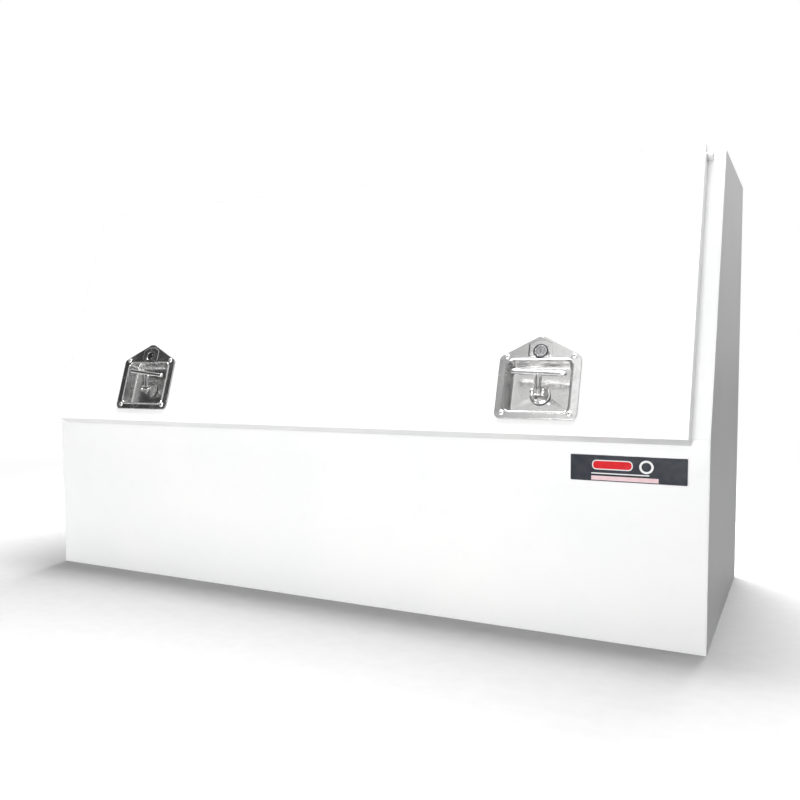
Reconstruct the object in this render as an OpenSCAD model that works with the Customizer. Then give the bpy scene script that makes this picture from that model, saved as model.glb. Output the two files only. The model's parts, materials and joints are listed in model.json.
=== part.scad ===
// Truck tool box: a welded sheet steel chest with one sloped door, hinged along its top edge.
// X runs along the width, the front faces -Y and Z is up. The origin is under the middle of the box.

/* [Box] */
// Width over the side panels
box_w = 1200; // [1150:10:1800]
// Depth from the lower front to the back
box_d = 500; // [450:10:700]
// Height of the top panel
box_h = 710; // [590:10:900]
// Height of the fold where the front starts to slope
kink_h = 297; // [240:1:330]
// Depth of the top panel
top_d = 350; // [290:5:400]
// Thickness of the sheet steel
sheet = 1.5; // [1.2:0.1:2.5]
// Height of the floor pan's turned up edge
floor_edge = 20; // [10:1:40]

/* [Bolting down] */
// Distance between the bolt holes along the width
bolt_x = 1000; // [800:10:1060]
// Distance between the bolt holes along the depth
bolt_y = 360; // [280:5:380]
// Diameter of the bolt holes
bolt_d = 11; // [9:0.5:14]
// Width of the bars that back the bolt holes
bar_w = 60; // [40:1:80]
// Thickness of the bars
bar_t = 3; // [2:0.5:6]
// Distance of the drain holes from the middle
drain_x = 300; // [100:10:380]
// Diameter of the drain holes
drain_d = 12; // [8:1:16]
// Distance of the drain holes from the lower front
drain_y = 50; // [35:1:80]

/* [Door opening] */
// Distance from the side of the box to the opening
stile_w = 38; // [34:1:44]
// Distance from the fold to the lower edge of the opening
bottom_rail_w = 12; // [11:0.5:13]
// Distance from the top edge to the opening
top_rail_w = 42; // [40:1:48]
// Height of the upstand round the opening
upstand = 17; // [14:0.5:20]
// Width of the rubber seal
seal_w = 9; // [7:0.5:9]
// Gap between the seal and the door
seal_gap = 0.3; // [0.3:0.1:1]

/* [Door] */
// Distance from the side of the box to the door's edge
door_margin = 24; // [22:1:26]
// Depth of the door's folded edges
door_t = 31; // [28:0.5:40]
// How far the door hangs below the fold
door_drop = 9; // [6:0.5:12]
// Gap between the door's side flanges and the frame
door_gap = 1; // [0.8:0.1:2]
// Number of stiffeners inside the door
rib_count = 3; // [1:1:3]
// Spacing of the stiffeners
rib_pitch = 190; // [120:5:200]
// Width of a stiffener over its flanges
rib_w = 60; // [50:1:80]
// Width of a stiffener's raised part
rib_top = 34; // [24:1:40]
// Depth of a stiffener
rib_d = 12; // [8:0.5:14]

/* [Hinge] */
// Radius of the hinge's barrel
barrel_r = 6; // [5.5:0.1:7.5]
// Radius of the hinge pin
pin_r = 4; // [3:0.1:4.2]
// Thickness of the hinge's leaves
leaf_t = 1.5; // [1.2:0.1:2]
// How far the hinge sticks out past each side of the door
barrel_out = 8; // [4:0.5:12]
// Number of knuckles, an odd number
knuckles = 29; // [15:2:41]
// Gap between neighbouring knuckles
knuckle_gap = 0.4; // [0.3:0.1:1]
// Gap between the barrel and the frame
barrel_gap = 0.5; // [0.4:0.1:1]
// Distance between hinge rivets
hinge_rivet_pitch = 120; // [80:5:160]

/* [Locks] */
// Distance of each lock from the middle
latch_x = 370; // [320:1:400]
// Distance of the spindle above the fold, along the door
latch_s = 56; // [54:0.5:120]
// Width of the lock's flange
plate_w = 120; // [112:1:130]
// Lower edge of the flange, below the spindle
plate_low = 42; // [40:0.5:43]
// Shoulders of the flange, above the spindle
plate_shoulder = 54; // [53:0.5:59]
// Tip of the flange, above the spindle
plate_tip = 85.5; // [83:0.5:95]
// Thickness of the flange
plate_t = 1.5; // [1:0.1:2]
// Thickness of the gasket
gasket_t = 1; // [0.8:0.1:2]
// Width of the dish
dish_w = 93; // [90:1:96]
// Lower wall of the dish, below the spindle
dish_low = 30; // [28:0.5:30.5]
// Upper wall of the dish, above the spindle
dish_high = 48; // [44:0.5:48]
// Depth of the dish
dish_d = 22; // [20:0.5:23]
// Distance between the flange's rivets across
rivet_x = 98; // [96:0.5:102]
// Lower rivets, below the spindle
rivet_low = 33.5; // [32:0.5:35]
// Upper rivets, above the spindle
rivet_high = 54; // [52:0.5:54.5]
// Radius of a rivet's head
rivet_head_r = 4; // [3:0.1:4.5]
// Height of the key barrel above the spindle
key_v = 62.5; // [61:0.5:65]
// Radius of the key barrel's head
key_head_r = 11; // [9.5:0.5:11]
// Radius of the key barrel's body
key_body_r = 9; // [8:0.5:9]
// Radius of the key plug
plug_r = 6; // [5:0.5:7]
// Length of the locking cam
cam_len = 24; // [18:1:26]
// Radius of the hub
hub_r = 15; // [13:0.5:16]
// Radius of the spindle
spindle_r = 7; // [6:0.5:8]
// Length of the pawl
pawl_len = 52; // [50:0.5:53]
// Length of the handle's bar
handle_w = 82; // [70:1:84]
// Radius of the handle's bar
handle_r = 4; // [3.5:0.5:4.5]
// Distance from the clevis pin to the bar, along the door
handle_reach = 26.5; // [25:0.5:30]
// Radius of the clevis pin
clevis_pin_r = 2.5; // [2:0.5:3]

/* [Gas struts] */
// Distance of each strut from the middle of its side's opening edge
strut_in = 17; // [15:0.5:20]
// Distance from the hinge to both ends of a strut
strut_arm = 285; // [280:1:288]
// Angle at the hinge between the two ends with the door closed
strut_spread = 68; // [66:0.5:70]
// Radius of the strut's tube
tube_r = 9; // [8:0.5:9.5]
// Radius of the strut's rod
rod_r = 4; // [3:0.5:5]
// Radius of the ball studs
ball_r = 5; // [4:0.5:5.5]

/* [Badge] */
// Width of the badge plate
badge_w = 158; // [100:1:180]
// Height of the badge plate
badge_h = 39.5; // [25:0.5:50]
// Thickness of the badge plate
badge_t = 1.2; // [0.6:0.1:2]
// Distance of the badge's right edge from the side of the box
badge_side = 26; // [15:1:60]
// Distance of the badge's upper edge below the fold
badge_drop = 25.5; // [20:0.5:60]

/* [Hidden] */
$fn = 48;
fit = 0.06;
through = 1;
clear = 0.3;
bend_r = 8;

// The slope: s runs up it from the fold, h stands out of it
slope_run = box_d - top_d;
tilt = atan(slope_run / (box_h - kink_h));
slope_len = (box_h - kink_h) / cos(tilt);
door_nose = door_drop * sin(tilt) + door_t * cos(tilt);
y_front = -(box_d - door_nose) / 2;
y_back = y_front + box_d;
y_mid = (y_front + y_back) / 2;
inner_x = box_w / 2 - sheet;
open_x = box_w / 2 - stile_w;
door_x = box_w / 2 - door_margin;
open_top = slope_len - top_rail_w;
sheet_top = slope_len - sheet / cos(tilt);
fold_in = sheet * (1 - cos(tilt)) / sin(tilt);

// The hinge's axis, and the door's edge just above it
hinge_drop = 11;
hinge_h = barrel_gap + barrel_r;
hinge_s = slope_len - hinge_drop;
door_top = hinge_s + barrel_r;
barrel_x = door_x + barrel_out;
knuckle_len = 2 * barrel_x / knuckles;
leaf_low = open_top + seal_w;
leaf_high = hinge_s - barrel_r - barrel_gap;
flange_in = hinge_h + barrel_r + clear;
leaf_rivet_s = (leaf_low + leaf_high) / 2;
leaf_side = 4;
leaf_x = door_x - leaf_side;
leaf_out = 20;
rivet_r = 2.4;
rivet_tail_r = 3.6;
rivet_tail_t = 1.2;

// Heights over the door's skin in a lock
plate_top = gasket_t + plate_t;
rim_t = 1.2;
dish_t = 1.2;
dish_floor = plate_top - dish_d;
dish_back = dish_floor - dish_t;
head_h = 1.5;
rim_out = 3;
clevis_rise = 15.5;
hub_t = 5.5;
bar_h = plate_top + head_h + 2 * clear + handle_r;
clevis_w = dish_floor + clevis_rise;
hub_top = dish_floor + hub_t;
ear_in = 5.2;
ear_t = 4;
ear_half = 6;
stem_t = 7;
eye_r = 5;
end_more = 0.25;
house_r = 9;
tip_flat = 4;
pawl_t = 3;
striker_t = 1.2;
pawl_top = -door_t - sheet - striker_t - clear;
tail_r = 5;
tail_out = 7;
nut_t = 5;
pawl_nut_r = 9;
pawl_half = 10;
pawl_end = 12;
pawl_round = 5;
cam_top = dish_back - 2 * clear;
cam_t = 2.7;
cam_half = 7;
cam_round = 4;
cam_bore_r = 3;
key_slot_w = 1.2;
key_slot_h = 6.8;
key_slot_deep = 8;
nut_wall = 4;
striker_w = 60;

// The struts' two pivots: both lie strut_arm from the hinge, so a strut turns half as far as the door
strut_x = open_x - strut_in;
hinge_p = slope_point(hinge_s, hinge_h);
door_pivot = slope_point(hinge_s - strut_arm, hinge_h);
body_pivot = hinge_p + turned(door_pivot - hinge_p, strut_spread);
strut_closed = norm(door_pivot - body_pivot);
strut_open = 2 * strut_arm * sin((strut_spread + 90) / 2);
socket_r = 8.5;
socket_half = 7;
mouth_lip = 0.8;
tube_start = 14;
rod_out = 30;
tube_end = strut_closed - rod_out;
tube_wall = 1.2;
tube_cap = 3;
neck_r = 5;
guide_len = 12;
piston_len = 12;
rod_spare = 2;
rod_reach = strut_open - tube_end + guide_len + piston_len + rod_spare;
bracket_t = 2.5;
stud_r = 3;
stud_reach = 12;
collar_t = 1.5;
stud_head = 2;
bracket_half = 22;
bracket_foot = 42;
bracket_h = 20;
clip_half = 15;
clip_in = 26;
clip_drop = 9;
plug_lip = 4;
plug_t = 2.5;
badge_r = 2;
seal_grip = 8;

function slope_point(s, h) = [
    y_front + s * sin(tilt) - h * cos(tilt),
    kink_h + s * cos(tilt) + h * sin(tilt)
];
function turned(v, a) = [v.x * cos(a) - v.y * sin(a), v.x * sin(a) + v.y * cos(a)];
function corner(a, p, b, r, n) = let (
    d0 = atan2(p.y - a.y, p.x - a.x),
    d1 = atan2(b.y - p.y, b.x - p.x),
    turn = (d1 - d0 + 720) % 360,
    c = p - r * tan(turn / 2) * [cos(d0), sin(d0)] + r * [-sin(d0), cos(d0)]
) [for (i = [0:n]) c + r * [cos(d0 - 90 + turn * i / n), sin(d0 - 90 + turn * i / n)]];
function rounded(points, r, n = 5) = let (last = len(points)) [
    for (i = [0:last - 1])
        each corner(points[(i + last - 1) % last], points[i], points[(i + 1) % last], r, n)
];
function rect(x0, y0, x1, y1) = [[x0, y0], [x1, y0], [x1, y1], [x0, y1]];

module along_x(x0, x1) {
    translate([x0, 0, 0])
        rotate([90, 0, 90])
            linear_extrude(x1 - x0)
                children();
}

module slope(x, s, h) {
    p = slope_point(s, h);
    translate([x, p.x, p.y])
        rotate([90 - tilt, 0, 0])
            children();
}

module sided(side) {
    if (side > 0) {
        children();
    } else {
        mirror([1, 0, 0])
            children();
    }
}

module at_latch(side) {
    slope(side * latch_x, latch_s, door_t)
        children();
}

module block(x0, x1, y0, y1, z0, z1) {
    translate([x0, y0, z0])
        cube([x1 - x0, y1 - y0, z1 - z0]);
}

module rod(r, z0, z1) {
    translate([0, 0, z0])
        cylinder(r = r, h = z1 - z0);
}

module rod_x(r, x0, x1) {
    translate([x0, 0, 0])
        rotate([0, 90, 0])
            cylinder(r = r, h = x1 - x0);
}

module bolt_places() {
    for (x = [-bolt_x / 2, bolt_x / 2]) {
        for (y = [-bolt_y / 2, bolt_y / 2]) {
            translate([x, y_mid + y, 0])
                children();
        }
    }
}

module drain_places() {
    for (x = [-drain_x, drain_x]) {
        translate([x, y_front + drain_y, 0])
            children();
    }
}

// Body panels

module floor_pan() {
    color("white")
        difference() {
            block(-inner_x, inner_x, y_front + sheet, y_back - sheet, 0, floor_edge);
            block(-inner_x + sheet, inner_x - sheet, y_front + 2 * sheet, y_back - 2 * sheet,
                sheet, floor_edge + through);
            bolt_places()
                rod(bolt_d / 2, -through, floor_edge);
            drain_places()
                rod(drain_d / 2, -through, floor_edge);
        }
}

module mounting_bars() {
    color("white")
        difference() {
            for (x = [-bolt_x / 2, bolt_x / 2]) {
                block(x - bar_w / 2, x + bar_w / 2, y_front + 2 * sheet, y_back - 2 * sheet,
                    sheet, sheet + bar_t);
            }
            bolt_places()
                rod(bolt_d / 2, 0, floor_edge);
        }
}

module back_panel() {
    color("white")
        block(-inner_x, inner_x, y_back - sheet, y_back, 0, box_h - sheet);
}

module top_panel() {
    color("white")
        along_x(-inner_x, inner_x)
            polygon([
                slope_point(slope_len, 0),
                slope_point(sheet_top, 0),
                [y_back, box_h - sheet],
                [y_back, box_h]
            ]);
}

module side_panel(side) {
    color("gainsboro")
        sided(side)
            along_x(inner_x, box_w / 2)
                polygon([
                    [y_front, 0],
                    [y_back, 0],
                    [y_back, box_h],
                    slope_point(slope_len, 0),
                    [y_front, kink_h]
                ]);
}

module lower_front_panel() {
    color("white")
        along_x(-inner_x, inner_x)
            polygon([
                [y_front, 0],
                [y_front + sheet, 0],
                slope_point(fold_in, -sheet),
                [y_front, kink_h]
            ]);
}

// Frame round the door opening

module top_rail() {
    color("white")
        difference() {
            union() {
                along_x(-open_x, open_x)
                    polygon([
                        slope_point(open_top, 0),
                        slope_point(open_top, -sheet),
                        slope_point(sheet_top, 0) + [sheet / cos(tilt), 0],
                        slope_point(sheet_top, 0)
                    ]);
                along_x(-open_x, open_x)
                    polygon([
                        slope_point(open_top, -sheet),
                        slope_point(open_top + sheet, -sheet),
                        slope_point(open_top + sheet, upstand),
                        slope_point(open_top, upstand)
                    ]);
            }
            hinge_rivet_places()
                rod(rivet_r, -sheet - through, through);
        }
}

module bottom_rail() {
    color("white")
        along_x(-open_x, open_x)
            polygon([
                slope_point(0, 0),
                slope_point(fold_in, -sheet),
                slope_point(bottom_rail_w, -sheet),
                slope_point(bottom_rail_w, upstand),
                slope_point(bottom_rail_w - sheet, upstand),
                slope_point(bottom_rail_w - sheet, 0)
            ]);
}

module stile(side) {
    color("white")
        sided(side)
            union() {
                along_x(open_x, inner_x)
                    polygon([
                        slope_point(0, 0),
                        slope_point(fold_in, -sheet),
                        slope_point(sheet_top, 0) + [sheet / cos(tilt), 0],
                        slope_point(sheet_top, 0)
                    ]);
                along_x(open_x, open_x + sheet)
                    polygon([
                        slope_point(bottom_rail_w - sheet, -sheet),
                        slope_point(open_top + sheet, -sheet),
                        slope_point(open_top + sheet, upstand),
                        slope_point(bottom_rail_w - sheet, upstand)
                    ]);
            }
}

module door_seal() {
    lip = seal_w / 2 - sheet / 2;
    top = door_t - sheet - seal_gap;
    low = upstand - seal_grip;
    color("dimgray")
        slope(0, 0, 0)
            difference() {
                block(-open_x - sheet - lip, open_x + sheet + lip,
                    bottom_rail_w - sheet - lip, open_top + sheet + lip, low, top);
                block(-open_x + lip, open_x - lip,
                    bottom_rail_w + lip, open_top - lip, low - through, top + through);
                difference() {
                    block(-open_x - sheet, open_x + sheet,
                        bottom_rail_w - sheet, open_top + sheet, low - through, upstand);
                    block(-open_x, open_x, bottom_rail_w, open_top, low - 2 * through, upstand + through);
                }
            }
}

// Hinge

module hinge_rivet_places() {
    count = floor((door_x - hinge_rivet_pitch / 2) / hinge_rivet_pitch);
    for (i = [-count:count]) {
        slope(i * hinge_rivet_pitch, leaf_rivet_s, 0)
            children();
    }
}

module knuckle_row(first) {
    length = knuckle_len - knuckle_gap;
    for (i = [first:2:knuckles - 1]) {
        x0 = -barrel_x + i * knuckle_len + knuckle_gap / 2;
        along_x(x0, x0 + length)
            difference() {
                union() {
                    circle(r = barrel_r);
                    children();
                }
                circle(r = pin_r + fit);
            }
    }
}

module hinge_body_leaf() {
    edge = leaf_high - hinge_s;
    color("white")
        difference() {
            slope(0, hinge_s, hinge_h)
                union() {
                    knuckle_row(0)
                        polygon(rect(edge - through, -hinge_h, -pin_r / 2, leaf_t - hinge_h));
                    block(-leaf_x, leaf_x, leaf_low - hinge_s, edge, -hinge_h, leaf_t - hinge_h);
                }
            hinge_rivet_places()
                rod(rivet_r, -through, leaf_t + through);
        }
}

module hinge_door_leaf() {
    plate_v = barrel_r - sheet;
    color("silver")
        slope(0, hinge_s, hinge_h)
            union() {
                knuckle_row(1)
                    polygon(rect(plate_v - leaf_t, pin_r / 2, plate_v, barrel_r + clear + through));
                block(-leaf_x, leaf_x, plate_v - leaf_t, plate_v, barrel_r + clear, leaf_out);
            }
}

module hinge_pin() {
    color("silver")
        slope(0, hinge_s, hinge_h)
            rod_x(pin_r, -barrel_x + 1, barrel_x - 1);
}

module hinge_rivets() {
    color("silver")
        hinge_rivet_places() {
            rod(rivet_r, -sheet, leaf_t);
            rod(rivet_head_r, leaf_t, leaf_t + rivet_tail_t);
            rod(rivet_tail_r, -sheet - rivet_tail_t, -sheet);
        }
}

// Small pieces on the body

module strikers() {
    color("silver")
        for (side = [-1, 1]) {
            slope(side * latch_x, 0, 0)
                block(-striker_w / 2, striker_w / 2, fold_in + 1, bottom_rail_w,
                    -sheet - striker_t, -sheet);
        }
}

module strut_bracket(side) {
    face_x = strut_x + stud_reach;
    color("dimgray")
        sided(side)
            translate([0, body_pivot.x, body_pivot.y])
                difference() {
                    union() {
                        block(face_x, inner_x, -bracket_half, bracket_half, -bracket_h, bracket_h);
                        block(inner_x - bracket_t, inner_x, -bracket_foot, bracket_foot,
                            -bracket_h, bracket_h);
                    }
                    block(face_x + bracket_t, inner_x + through,
                        -bracket_half + bracket_t, bracket_half - bracket_t,
                        -bracket_h - through, bracket_h + through);
                    rod_x(stud_r + fit, face_x - through, face_x + bracket_t + through);
                }
}

module ball_stud(reach) {
    rotate([0, 90, 0])
        rotate_extrude() {
            intersection() {
                circle(r = ball_r);
                translate([0, -ball_r])
                    square([ball_r, 2 * ball_r]);
            }
            square([stud_r, reach + bracket_t + stud_head]);
            translate([0, reach - collar_t])
                square([2 * stud_r, collar_t]);
            translate([0, reach + bracket_t])
                square([stud_r + stud_head, stud_head]);
        }
}

module body_ball_studs() {
    color("silver")
        for (side = [-1, 1]) {
            sided(side)
                translate([strut_x, body_pivot.x, body_pivot.y])
                    ball_stud(stud_reach);
        }
}

module drain_plugs() {
    color("black")
        drain_places() {
            rod(drain_d / 2, 0, sheet);
            rod(drain_d / 2 + plug_lip, sheet, sheet + plug_t);
        }
}

module badge_plate() {
    x1 = box_w / 2 - badge_side;
    z1 = kink_h - badge_drop;
    color("black")
        translate([0, y_front, 0])
            rotate([90, 0, 0])
                linear_extrude(badge_t)
                    polygon(rounded(rect(x1 - badge_w, z1 - badge_h, x1, z1), badge_r));
}

// Door

module house() {
    polygon(rounded([
        [-plate_w / 2, -plate_low],
        [plate_w / 2, -plate_low],
        [plate_w / 2, plate_shoulder],
        [tip_flat, plate_tip],
        [-tip_flat, plate_tip],
        [-plate_w / 2, plate_shoulder]
    ], house_r));
}

module dish_outline(grow) {
    polygon(rounded(rect(-dish_w / 2 - grow, -dish_low - grow, dish_w / 2 + grow, dish_high + grow),
        bend_r + grow));
}

module latch_rivet_places() {
    for (x = [-rivet_x / 2, rivet_x / 2]) {
        for (y = [-rivet_low, rivet_high]) {
            translate([x, y, 0])
                children();
        }
    }
}

module latch_cuts(z0, z1) {
    translate([0, 0, z0])
        linear_extrude(z1 - z0)
            dish_outline(dish_t + 1);
    translate([0, key_v, 0])
        rod(key_body_r + fit, z0, z1);
    latch_rivet_places()
        rod(rivet_r + fit, z0, z1);
}

module door_pan() {
    color("white")
        difference() {
            slope(0, 0, 0)
                difference() {
                    block(-door_x, door_x, -door_drop, door_top, 0, door_t);
                    block(-door_x + sheet, door_x - sheet, -door_drop + sheet, door_top - sheet,
                        -through, door_t - sheet);
                    block(-door_x - through, door_x + through, bottom_rail_w, door_top + through,
                        -through, door_gap);
                    block(-door_x - through, door_x + through, hinge_s - barrel_r - 2 * door_gap,
                        door_top + through, -through, flange_in);
                }
            for (side = [-1, 1]) {
                at_latch(side)
                    latch_cuts(-sheet - through, through);
            }
        }
}

module door_stiffeners() {
    low = bottom_rail_w + seal_w;
    high = open_top - seal_w;
    color("white")
        slope(0, 0, door_t - sheet)
            for (i = [0:rib_count - 1]) {
                translate([(i - (rib_count - 1) / 2) * rib_pitch, 0, 0])
                    difference() {
                        union() {
                            block(-rib_w / 2, rib_w / 2, low, high, -sheet, 0);
                            block(-rib_top / 2, rib_top / 2, low, high, -rib_d, 0);
                        }
                        block(-rib_top / 2 + sheet, rib_top / 2 - sheet, low - through, high + through,
                            -rib_d + sheet, through);
                    }
            }
}

module door_bracket(side) {
    s0 = hinge_s - strut_arm;
    leg_x = strut_x - stud_reach - bracket_t;
    inside = door_t - sheet;
    color("dimgray")
        sided(side)
            difference() {
                union() {
                    slope(0, s0, 0)
                        block(leg_x, leg_x + bracket_t, -clip_half, clip_half,
                            hinge_h - clip_drop, inside);
                    slope(0, s0, 0)
                        block(leg_x - clip_in, leg_x + bracket_t, -clip_half, clip_half,
                            inside - bracket_t, inside);
                }
                slope(0, s0, hinge_h)
                    rod_x(stud_r + fit, leg_x - through, leg_x + bracket_t + through);
            }
}

module door_ball_studs() {
    color("silver")
        for (side = [-1, 1]) {
            sided(side)
                translate([strut_x, door_pivot.x, door_pivot.y])
                    mirror([1, 0, 0])
                        ball_stud(stud_reach);
        }
}

// Locks

module latch_dish(side) {
    color("silver")
        at_latch(side)
            difference() {
                union() {
                    translate([0, 0, gasket_t])
                        linear_extrude(plate_t)
                            house();
                    translate([0, 0, dish_back])
                        linear_extrude(plate_top + rim_t - dish_back)
                            dish_outline(dish_t);
                    translate([0, 0, plate_top])
                        linear_extrude(rim_t)
                            dish_outline(rim_out);
                }
                translate([0, 0, dish_floor])
                    linear_extrude(dish_d + rim_t + through)
                        dish_outline(0);
                rod(spindle_r + fit, dish_back - through, dish_floor + through);
                translate([0, key_v, 0])
                    rod(key_body_r + fit, 0, plate_top + through);
                latch_rivet_places()
                    rod(rivet_r + fit, 0, plate_top + through);
            }
}

module latch_gaskets() {
    color("black")
        for (side = [-1, 1]) {
            at_latch(side)
                difference() {
                    linear_extrude(gasket_t)
                        house();
                    latch_cuts(-through, gasket_t + through);
                }
        }
}

module latch_rivets() {
    color("silver")
        for (side = [-1, 1]) {
            at_latch(side)
                latch_rivet_places() {
                    rod(rivet_r, -sheet - rivet_tail_t / 2, plate_top + head_h / 2);
                    rod(rivet_head_r, plate_top, plate_top + head_h / 2);
                    rod(rivet_head_r - 1.2, plate_top + head_h / 2, plate_top + head_h);
                    rod(rivet_tail_r, -sheet - rivet_tail_t, -sheet);
                }
        }
}

module spindle_housings() {
    color("silver")
        for (side = [-1, 1]) {
            at_latch(side)
                difference() {
                    rod(hub_r - 2, pawl_top + 2 * clear, dish_back);
                    rod(spindle_r + fit, pawl_top, dish_back + through);
                }
        }
}

module lock_barrel(side) {
    color("silver")
        at_latch(side)
            translate([0, key_v, 0])
                difference() {
                    union() {
                        rod(key_head_r, plate_top, plate_top + head_h);
                        rod(key_body_r, cam_top + clear, plate_top + head_h);
                    }
                    rod(plug_r + fit, cam_top, plate_top + head_h + through);
                }
}

module lock_nuts() {
    color("silver")
        for (side = [-1, 1]) {
            at_latch(side)
                translate([0, key_v, 0])
                    difference() {
                        translate([0, 0, -sheet - nut_t])
                            cylinder(r = key_body_r + nut_wall, h = nut_t, $fn = 6);
                        rod(key_body_r + fit, -sheet - nut_t - through, 0);
                    }
        }
}

module key_plug(side) {
    color("gray")
        at_latch(side)
            translate([0, key_v, 0])
                difference() {
                    union() {
                        rod(plug_r, cam_top + clear, plate_top + head_h);
                        rod(cam_bore_r, cam_top - cam_t - 1, cam_top + clear);
                    }
                    block(-key_slot_w / 2, key_slot_w / 2, -key_slot_h / 2, key_slot_h / 2,
                        plate_top + head_h - key_slot_deep, plate_top + head_h + through);
                }
}

module lock_cam(side) {
    color("silver")
        at_latch(side)
            translate([0, key_v, cam_top - cam_t])
                difference() {
                    linear_extrude(cam_t)
                        polygon(rounded(rect(-cam_len, -cam_half, cam_half, cam_half), cam_round));
                    rod(cam_bore_r + fit, -through, cam_t + through);
                }
}

module spindle(side) {
    color("silver")
        at_latch(side)
            difference() {
                union() {
                    rod(tail_r, pawl_top - pawl_t - tail_out, pawl_top);
                    rod(spindle_r, pawl_top, dish_floor + clear);
                    rod(hub_r, dish_floor + clear, hub_top);
                    for (x = [-ear_in - ear_t, ear_in]) {
                        block(x, x + ear_t, -ear_half, ear_half, hub_top - through, clevis_w);
                        translate([0, 0, clevis_w])
                            rod_x(ear_half, x, x + ear_t);
                    }
                }
                translate([0, 0, clevis_w])
                    rod_x(clevis_pin_r + fit, -ear_in - ear_t - through, ear_in + ear_t + through);
            }
}

module handle_pin(side) {
    color("silver")
        at_latch(side)
            translate([0, 0, clevis_w])
                rod_x(clevis_pin_r, -ear_in - ear_t - 1, ear_in + ear_t + 1);
}

module handle(side) {
    rise = bar_h - clevis_w;
    stem = norm([handle_reach, rise]);
    end_r = handle_r + end_more;
    half = handle_w / 2 - end_r;
    eye_half = ear_in - clear;
    stem_half = eye_half - 0.2;
    color("silver")
        at_latch(side)
            translate([0, 0, clevis_w])
                difference() {
                    union() {
                        rod_x(eye_r, -eye_half, eye_half);
                        rotate([atan2(rise, handle_reach), 0, 0])
                            block(-stem_half, stem_half, clevis_pin_r + 1, stem, -stem_t / 2, stem_t / 2);
                        translate([0, handle_reach, rise]) {
                            rod_x(handle_r, -half, half);
                            for (x = [-half, half]) {
                                translate([x, 0, 0])
                                    sphere(r = end_r);
                            }
                        }
                    }
                    rod_x(clevis_pin_r + fit, -ear_in, ear_in);
                }
}

module pawl(side) {
    color("silver")
        at_latch(side)
            translate([0, 0, pawl_top - pawl_t])
                difference() {
                    linear_extrude(pawl_t)
                        polygon(rounded(rect(-pawl_len, -pawl_half, pawl_end, pawl_half), pawl_round));
                    rod(tail_r + fit, -through, pawl_t + through);
                }
}

module pawl_nut(side) {
    color("silver")
        at_latch(side)
            translate([0, 0, pawl_top - pawl_t - nut_t])
                difference() {
                    cylinder(r = pawl_nut_r, h = nut_t, $fn = 6);
                    rod(tail_r + fit, -through, nut_t + through);
                }
}

// Gas struts

module along_strut(side) {
    reach = door_pivot - body_pivot;
    translate([side * strut_x, body_pivot.x, body_pivot.y])
        rotate([atan2(-reach.x, reach.y), 0, 0])
            children();
}

module socket(out, z0, z1) {
    difference() {
        union() {
            rod_x(socket_r, -socket_half, socket_half);
            rod(neck_r, z0, z1);
        }
        sphere(r = ball_r + fit);
        sided(out)
            rod_x(ball_r - mouth_lip, 0, socket_half + through);
    }
}

module strut_tube(side) {
    color("dimgray")
        along_strut(side)
            difference() {
                rod(tube_r, tube_start, tube_end);
                rod(tube_r - tube_wall, tube_start + tube_cap, tube_end - guide_len);
                rod(rod_r + fit, tube_start + tube_cap, tube_end + through);
            }
}

module tube_socket(side) {
    color("black")
        along_strut(side)
            socket(side, 0, tube_start);
}

module strut_rod(side) {
    color("silver")
        along_strut(side)
            rod(rod_r, strut_closed - rod_reach, strut_closed - tube_start);
}

module strut_piston(side) {
    low = strut_closed - rod_reach;
    color("gray")
        along_strut(side)
            difference() {
                rod(tube_r - tube_wall - fit, low, low + piston_len);
                rod(rod_r, low - through, low + piston_len + through);
            }
}

module rod_socket(side) {
    color("black")
        along_strut(side)
            translate([0, 0, strut_closed])
                socket(-side, -tube_start, 0);
}

floor_pan();
mounting_bars();
back_panel();
top_panel();
side_panel(-1);  // left_side_panel
side_panel(1);  // right_side_panel
lower_front_panel();
top_rail();
bottom_rail();
stile(-1);  // left_stile
stile(1);  // right_stile
door_seal();
hinge_body_leaf();
hinge_pin();
hinge_rivets();
strikers();
strut_bracket(-1);  // left_strut_bracket
strut_bracket(1);  // right_strut_bracket
body_ball_studs();
drain_plugs();
badge_plate();
door_pan();
door_stiffeners();
hinge_door_leaf();
door_bracket(-1);  // left_door_bracket
door_bracket(1);  // right_door_bracket
door_ball_studs();
latch_dish(-1);  // left_latch_dish
latch_dish(1);  // right_latch_dish
latch_gaskets();
latch_rivets();
spindle_housings();
lock_barrel(-1);  // left_lock_barrel
lock_barrel(1);  // right_lock_barrel
lock_nuts();
key_plug(-1);  // left_key_plug
key_plug(1);  // right_key_plug
lock_cam(-1);  // left_lock_cam
lock_cam(1);  // right_lock_cam
spindle(-1);  // left_spindle
spindle(1);  // right_spindle
handle_pin(-1);  // left_handle_pin
handle_pin(1);  // right_handle_pin
pawl(-1);  // left_pawl
pawl(1);  // right_pawl
pawl_nut(-1);  // left_pawl_nut
pawl_nut(1);  // right_pawl_nut
handle(-1);  // left_handle
handle(1);  // right_handle
strut_tube(-1);  // left_strut_tube
strut_tube(1);  // right_strut_tube
tube_socket(-1);  // left_tube_socket
tube_socket(1);  // right_tube_socket
strut_rod(-1);  // left_strut_rod
strut_rod(1);  // right_strut_rod
strut_piston(-1);  // left_strut_piston
strut_piston(1);  // right_strut_piston
rod_socket(-1);  // left_rod_socket
rod_socket(1);  // right_rod_socket
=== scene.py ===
import json
import math

import bmesh
import bpy
from mathutils import Matrix, Vector
from mathutils.geometry import tessellate_polygon


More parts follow.
